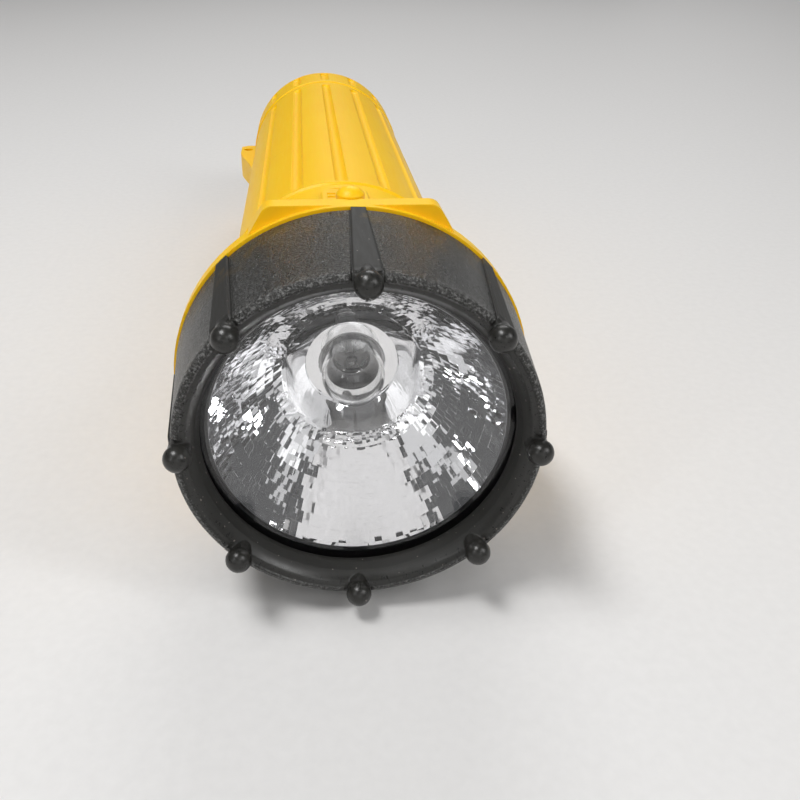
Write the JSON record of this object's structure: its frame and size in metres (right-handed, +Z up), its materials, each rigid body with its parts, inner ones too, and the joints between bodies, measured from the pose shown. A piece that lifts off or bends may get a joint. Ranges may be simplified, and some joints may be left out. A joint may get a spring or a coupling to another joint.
{
  "type": "firefighter flashlight",
  "caption": "Hand lamp with a round finned grip, a ribbed bumper bezel, a faceted reflector and bulb, a thumb slide switch, a flash button and a screw tail cap.",
  "frame": {"origin": "on the ground under the middle of the lamp's length, on the underside of the foot behind the head flange", "axes": "+Z up, +Y along the lamp axis towards the tail, so the light leaves towards -Y; the switch is on top and the lanyard lug on -X"},
  "size_m": [0.0618, 0.209, 0.0635],
  "materials": {
    "yellow_plastic": "satin moulded plastic with fine drag marks",
    "black_plastic": "spark-grained moulded plastic, satin on the bumpers",
    "black_rubber": "matt",
    "clear_plastic": "clear polished polycarbonate",
    "clear_glass": "clear blown glass",
    "mirror_coat": "vacuum-metallised, faceted",
    "brass": "rolled sheet",
    "steel": "nickel-plated",
    "solder": "dull solder",
    "dark_glass": "gloss",
    "grey_plastic": "moulded",
    "cell_jacket": "plain wrapped jacket"
  },
  "bodies": {
    "casing": {"casing": "yellow_plastic", "lanyard_lug": "yellow_plastic", "head_seal": "black_rubber", "switch_carrier": "grey_plastic", "carrier_screws": "steel", "contact_strip": "brass", "lamp_contact": "brass", "button_retainer": "steel", "contact_disc": "grey_plastic", "centre_rivet": "brass", "front_cell_can": "cell_jacket", "front_cell_seal": "grey_plastic", "front_cell_terminal": "steel", "front_cell_base": "steel", "rear_cell_can": "cell_jacket", "rear_cell_seal": "grey_plastic", "rear_cell_terminal": "steel", "rear_cell_base": "steel"},
    "lamp_unit": {"lens": "clear_plastic", "lens_gasket": "black_rubber", "reflector": "mirror_coat", "bulb_glass": "clear_glass", "bulb_stem": "clear_glass", "bulb_leads": "steel", "bulb_filament": "steel", "bulb_base": "steel", "bulb_insulator": "dark_glass", "bulb_tip": "solder", "bulb_retainer": "steel"},
    "bezel": {"bezel": "black_plastic"},
    "switch_slide": {"switch_slide": "yellow_plastic", "switch_wiper": "brass"},
    "flash_button": {"flash_button": "yellow_plastic", "button_seal": "black_rubber", "flash_contact": "brass", "flash_spring": "steel"},
    "tail_seal": {"tail_seal": "black_rubber"},
    "tail_cap": {"tail_cap": "yellow_plastic", "tail_contact": "steel", "tail_spring": "steel"}
  },
  "joints": [
    {"name": "bezel_travel", "type": "slide", "parent": "casing", "child": "lamp_unit", "axis": [0, -1, 0], "range_m": [0, 0.006]},
    {"name": "bezel_twist", "type": "hinge", "parent": "lamp_unit", "child": "bezel", "pos_m": [0, -0.09045, 0.0311], "axis": [0, -1, 0], "range_deg": [0, 720]},
    {"name": "slide_switch", "type": "slide", "parent": "casing", "child": "switch_slide", "axis": [0, -1, 0], "range_m": [0, 0.007]},
    {"name": "flash_push", "type": "slide", "parent": "casing", "child": "flash_button", "axis": [0, 0, -1], "range_m": [0, 0.0011], "stiffness_N_per_m": 800, "springref_m": -0.002, "deforming": ["flash_spring"]},
    {"name": "tail_travel", "type": "slide", "parent": "casing", "child": "tail_seal", "axis": [0, 1, 0], "range_m": [0, 0.006], "deforming": ["tail_spring"]},
    {"name": "tail_twist", "type": "hinge", "parent": "tail_seal", "child": "tail_cap", "pos_m": [0, 0.08755, 0.0311], "axis": [0, 1, 0], "range_deg": [0, 720]}
  ],
  "couplings": [
    {"joint": "bezel_travel", "follows": "bezel_twist", "m_per_rad": 0.00047746},
    {"joint": "tail_travel", "follows": "tail_twist", "m_per_rad": 0.00047746}
  ]
}
